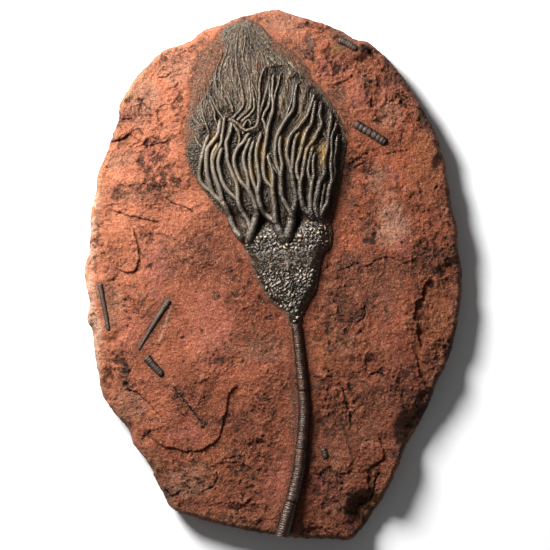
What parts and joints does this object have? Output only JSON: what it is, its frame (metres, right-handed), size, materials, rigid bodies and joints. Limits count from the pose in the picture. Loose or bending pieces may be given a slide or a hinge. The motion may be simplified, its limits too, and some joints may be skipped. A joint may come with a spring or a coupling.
{
  "type": "crinoid fossil on a limestone slab",
  "caption": "Sea lily fossil in high relief, with feathery crown, calyx and long stem, on an oval slab of red limestone that lies flat on its back.",
  "frame": {"origin": "middle of the outline's box, on the flat back that the slab lies on", "axes": "+Y runs up the slab from the stem's broken end to the crown's tip, +Z is out of the face that shows the fossil, +X is to the right as that face is looked at"},
  "size_m": [0.38, 0.533, 0.0494],
  "materials": {
    "red_limestone": "rough broken bedding face, iron-stained brick red",
    "pinnule_calcite": "fine fibrous dark grey-brown calcite",
    "dark_calcite": "prepared dark grey-olive calcite, slightly glossy on the ridges"
  },
  "bodies": {
    "root": {"matrix_slab": "red_limestone", "pinnule_mat": "pinnule_calcite", "calyx": "dark_calcite", "arm_left_outer": "dark_calcite", "arm_left_inner": "dark_calcite", "arm_centre_left": "dark_calcite", "arm_centre_right": "dark_calcite", "arm_right_inner": "dark_calcite", "arm_right_outer": "dark_calcite", "stem": "dark_calcite", "stem_piece_left": "dark_calcite", "stem_piece_long": "dark_calcite", "stem_piece_ribbed": "dark_calcite", "stem_piece_right": "dark_calcite", "stem_piece_top": "dark_calcite", "stem_piece_small": "dark_calcite"}
  },
  "joints": []
}
